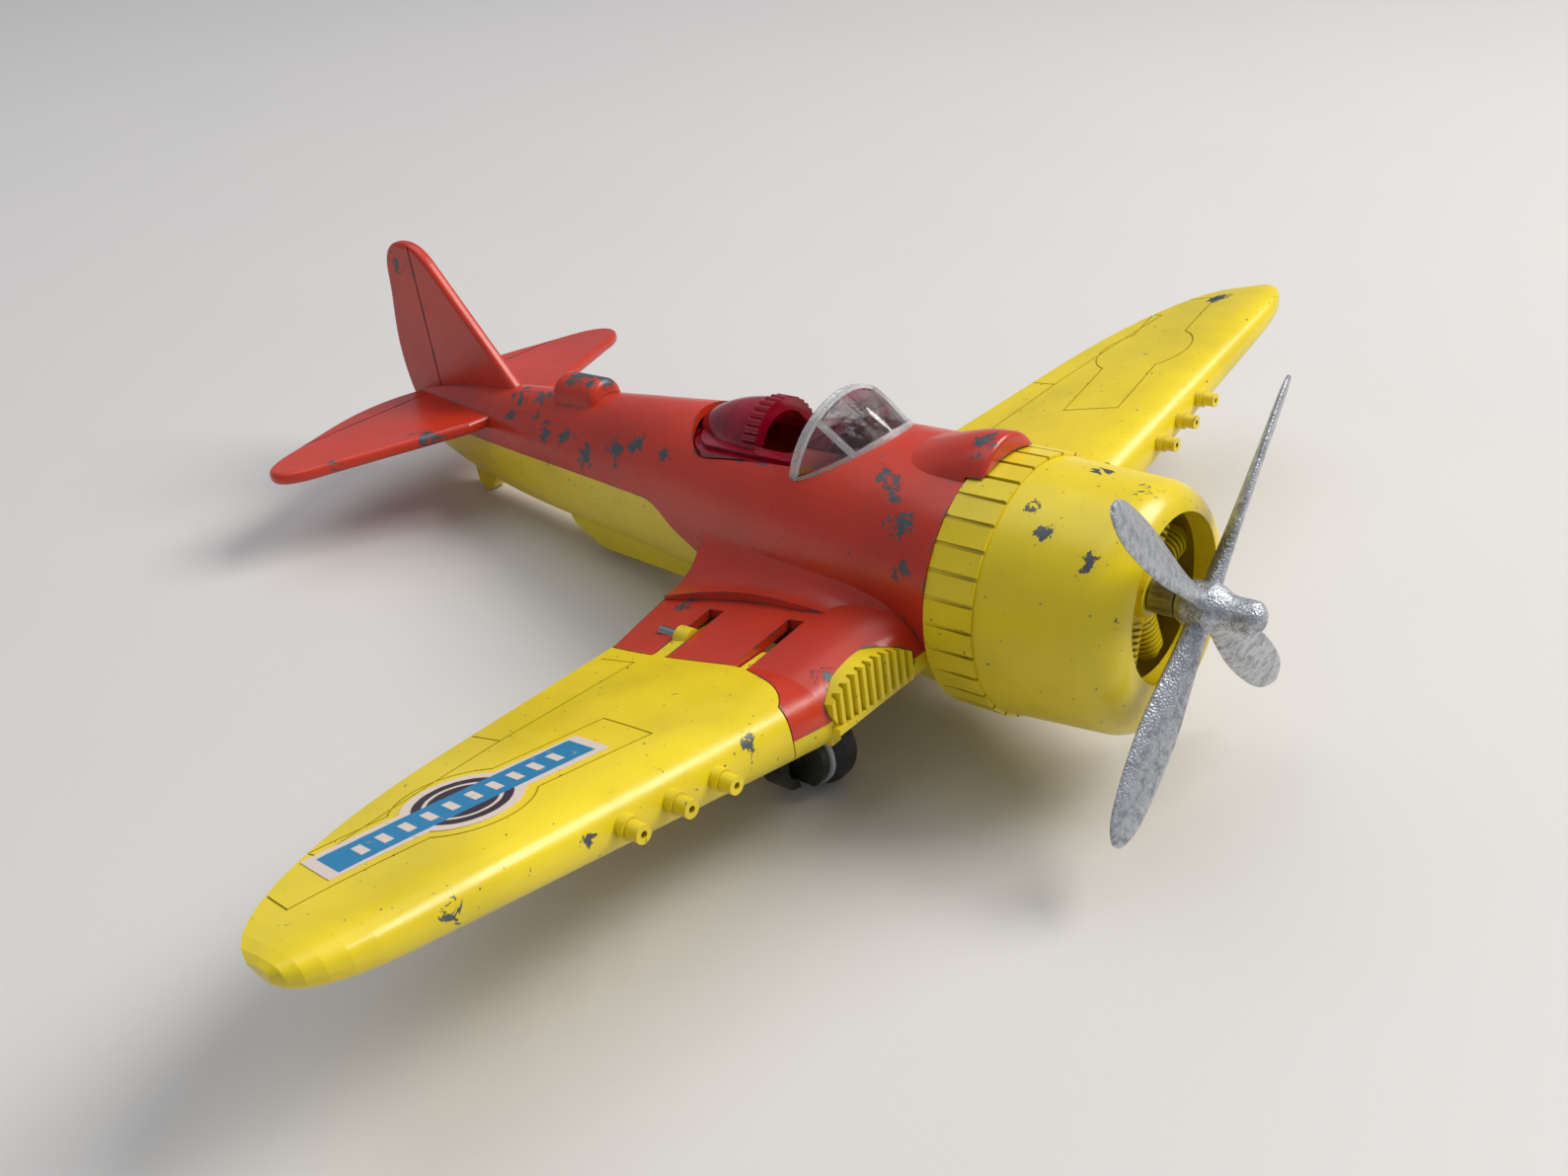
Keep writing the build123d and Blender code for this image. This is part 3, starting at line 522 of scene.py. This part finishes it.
dress(moulded("tyre_rubber", rubber, 0.55, 0.8, 0.06), *both("tyre"))
dress(badge_paper(), "starboard_wing_label")
windshield()


# ---------------------------------------------------------------- floor, light and camera
table_half = 4              # metres
window_power = 17.5
ceiling_power = 5.6
surround_strength = 0.33
camera_spot = Vector((0.1731, -0.1877, 0.1725))
camera_aim = Vector((0.0226, -0.0127, 0.0200))
camera_roll = -0.89         # degrees
sensor_width = 36
focal_length = 32.69


def floor():
    """Large table top under the toy."""
    shape = bmesh.new()
    bmesh.ops.create_grid(shape, x_segments=8, y_segments=8, size=table_half)
    mesh = bpy.data.meshes.new("table_top")
    shape.to_mesh(mesh)
    shape.free()
    mesh.materials.append(table_top())
    top = bpy.data.objects.new("table_top", mesh)
    scene.collection.objects.link(top)


def soft_light(name, spot, aim, size, power, colour):
    """Square area light turned towards a point."""
    lamp = bpy.data.lights.new(name, "AREA")
    lamp.size = size
    lamp.energy = power
    lamp.color = colour
    holder = bpy.data.objects.new(name, lamp)
    holder.location = spot
    holder.rotation_euler = (Vector(aim) - Vector(spot)).to_track_quat("-Z", "Y").to_euler()
    scene.collection.objects.link(holder)


def studio():
    """Window light from the upper right and a cool pale surround."""
    soft_light("window", (0.62, 0.70, 1.05), (0, 0, 0.02), 0.7, window_power, (1.0, 0.965, 0.92))
    soft_light("ceiling", (-0.35, 0.1, 1.3), (0, 0, 0), 1.2, ceiling_power, (0.98, 0.99, 1.0))
    world = bpy.data.worlds.new("surround")
    world.use_nodes = True
    sky = world.node_tree.nodes["Background"]
    sky.inputs["Color"].default_value = (0.80, 0.86, 1.0, 1)
    sky.inputs["Strength"].default_value = surround_strength
    scene.world = world
    scene.view_settings.view_transform = "Standard"


def camera():
    """Looks down on the nose from ahead and to starboard."""
    lens = bpy.data.cameras.new("camera")
    lens.sensor_width = sensor_width
    lens.lens = focal_length
    lens.clip_start = 0.01
    holder = bpy.data.objects.new("camera", lens)
    turn = (camera_aim - camera_spot).to_track_quat("-Z", "Y").to_matrix().to_4x4()
    roll = Matrix.Rotation(radians(camera_roll), 4, "Z")
    holder.matrix_world = Matrix.Translation(camera_spot) @ turn @ roll
    scene.collection.objects.link(holder)
    scene.camera = holder


floor()
studio()
camera()
